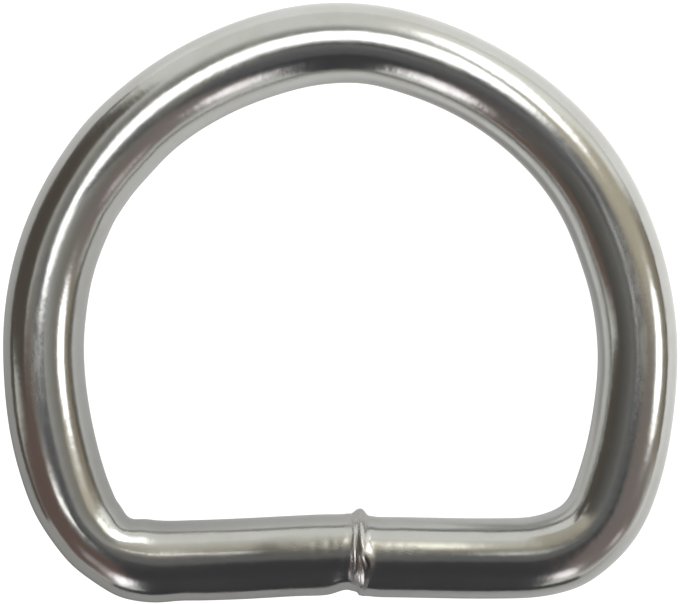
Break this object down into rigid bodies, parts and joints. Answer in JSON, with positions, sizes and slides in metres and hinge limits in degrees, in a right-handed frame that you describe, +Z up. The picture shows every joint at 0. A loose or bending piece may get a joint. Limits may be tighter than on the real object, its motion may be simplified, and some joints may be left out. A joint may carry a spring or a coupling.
{
  "type": "welded wire d ring",
  "caption": "D ring of round wire with a straight strap bar and a rounded bow, butt welded in the bar, for joining a sewn strap to a hook.",
  "frame": {"origin": "middle of the ring's footprint, on the surface that it lies on", "axes": "+X along the strap bar, +Y from the bar to the crown, +Z up out of the ring's plane"},
  "size_m": [0.0334, 0.0296, 0.0043],
  "materials": {
    "nickel_plate": "bright nickel plate over steel, faintly warm, with light handling marks and a duller weld"
  },
  "bodies": {
    "root": {"d_ring": "nickel_plate"}
  },
  "joints": []
}
